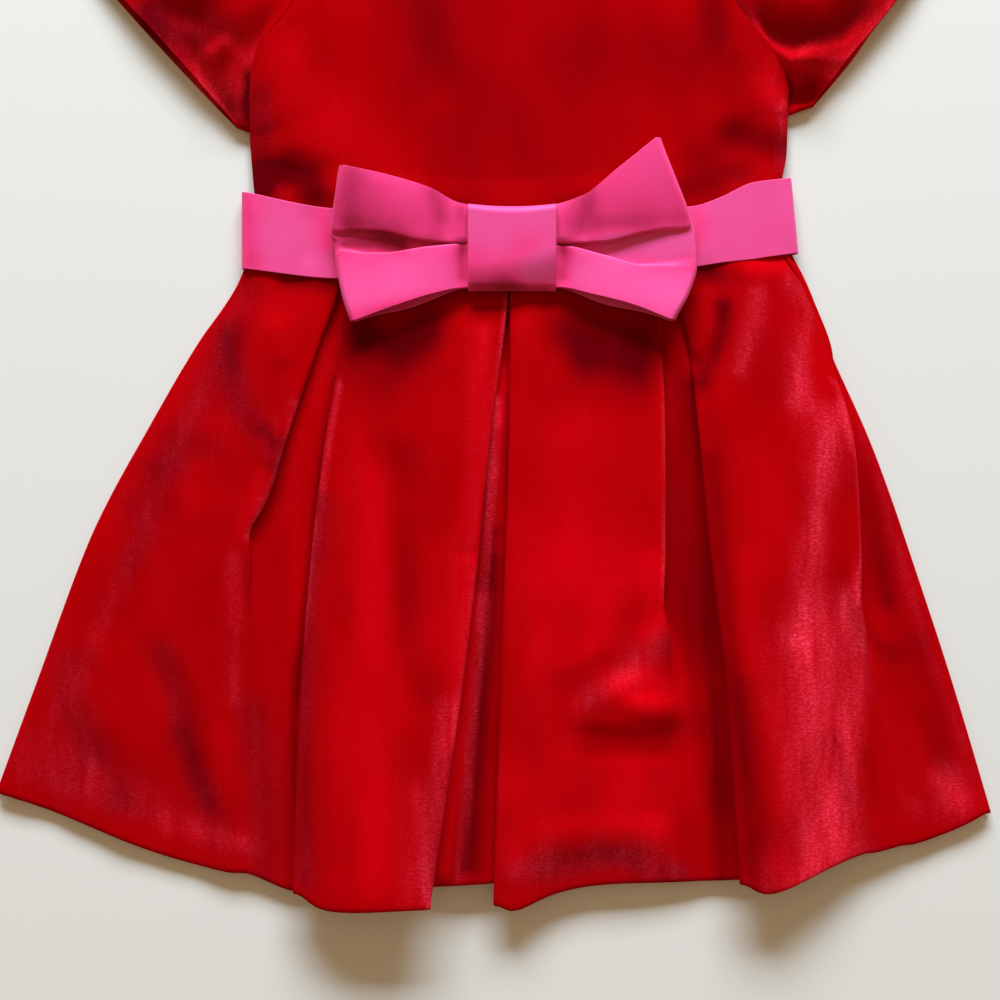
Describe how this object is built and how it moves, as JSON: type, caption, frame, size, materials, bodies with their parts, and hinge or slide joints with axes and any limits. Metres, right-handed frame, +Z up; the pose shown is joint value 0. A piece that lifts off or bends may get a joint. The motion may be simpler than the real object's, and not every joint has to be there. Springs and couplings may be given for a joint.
{
  "type": "toddler dress",
  "caption": "Short-sleeved velvet toddler dress with a pleated skirt and a satin sash and bow, laid flat on its back.",
  "frame": {"origin": "middle of the dress's outline, on the surface that it lies on", "axes": "+X to the right of someone looking down at the front, +Y towards the neck, +Z up off the surface, out of the front"},
  "size_m": [0.4946, 0.5403, 0.0222],
  "materials": {
    "velvet": "red cotton velvet with a short dense pile that is dark seen from above and paler along folds",
    "satin": "hot pink satin ribbon with a fine diagonal twill and a soft sheen",
    "button": "red, half matte"
  },
  "bodies": {
    "root": {"skirt_front": "velvet", "skirt_back": "velvet", "bodice_front": "velvet", "bodice_back_left": "velvet", "bodice_back_right": "velvet", "sleeve_left": "velvet", "sleeve_right": "velvet", "sash": "satin", "bow": "satin", "bow_knot": "satin", "button": "button"}
  },
  "joints": []
}
